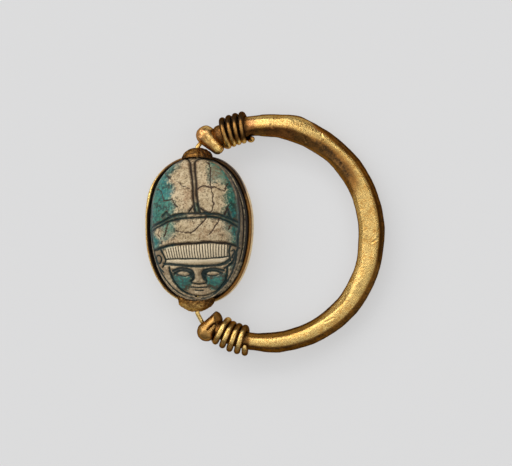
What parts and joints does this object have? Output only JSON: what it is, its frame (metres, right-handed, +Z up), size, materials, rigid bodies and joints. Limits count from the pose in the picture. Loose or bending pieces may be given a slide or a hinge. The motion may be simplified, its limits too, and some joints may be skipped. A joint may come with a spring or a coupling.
{
  "type": "scarab ring",
  "caption": "Gold swivel finger ring with a human-headed scarab of glazed stone that turns about a wire wound round both necks of the hoop.",
  "frame": {"origin": "centre of the scarab's flat seal face", "axes": "+Z up out of the scarab's back, +Y along the wire towards the scarab's tail, +X across the finger hole towards the middle of the hoop"},
  "size_m": [0.0282, 0.0284, 0.007],
  "materials": {
    "hoop_gold": "worn, hammered gold",
    "wire_gold": "drawn gold wire",
    "setting_gold": "dull, dented gold sheet",
    "glazed_stone": "steatite with worn turquoise glaze"
  },
  "bodies": {
    "ring": {"hoop": "hoop_gold", "tail_knob": "hoop_gold", "head_knob": "hoop_gold", "swivel_wire": "wire_gold"},
    "bezel": {"scarab": "glazed_stone", "setting": "setting_gold", "tail_end_cap": "setting_gold", "head_end_cap": "setting_gold"}
  },
  "joints": [
    {"name": "swivel", "type": "hinge", "parent": "ring", "child": "bezel", "pos_m": [0, 0, 0.003], "axis": [0, 1, 0], "continuous": true}
  ]
}
